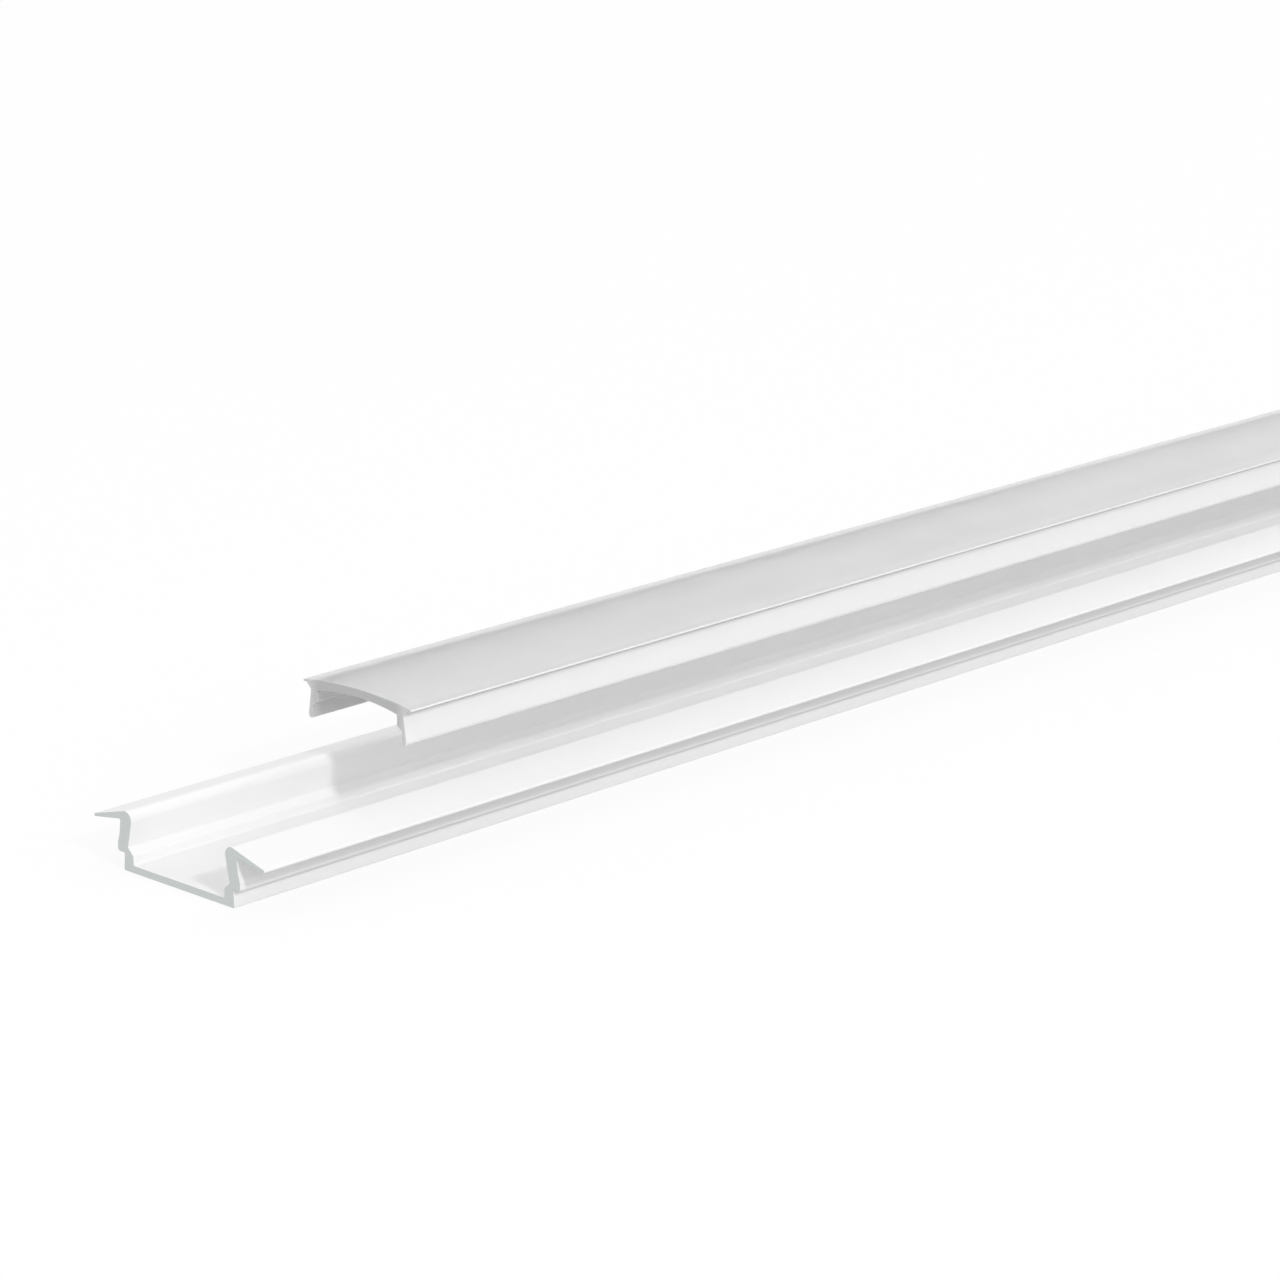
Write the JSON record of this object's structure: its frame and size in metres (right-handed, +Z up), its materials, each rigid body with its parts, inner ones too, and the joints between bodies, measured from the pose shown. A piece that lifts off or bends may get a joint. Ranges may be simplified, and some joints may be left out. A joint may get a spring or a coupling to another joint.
{
  "type": "led strip aluminium profile",
  "caption": "Recessed white aluminium channel for an LED strip, with drooping edge flanges, and its frosted clip-in diffuser cover lifted off above it.",
  "frame": {"origin": "centre of the profile's flat underside, half way along its run", "axes": "+Y along the run, from the cut end that shows in the picture to the far one; +Z up, out of the channel's open side; +X across, to the right seen from the front end"},
  "size_m": [0.024, 0.323, 0.0146],
  "materials": {
    "white_lacquered_aluminium": "satin",
    "frosted_plastic": "satin"
  },
  "bodies": {
    "profile": {"profile": "white_lacquered_aluminium"},
    "cover": {"diffuser_cover": "frosted_plastic"}
  },
  "joints": [
    {"name": "cover_lift", "type": "slide", "parent": "profile", "child": "cover", "axis": [0, 0, 1], "range_m": [-0.0079, 0]}
  ]
}
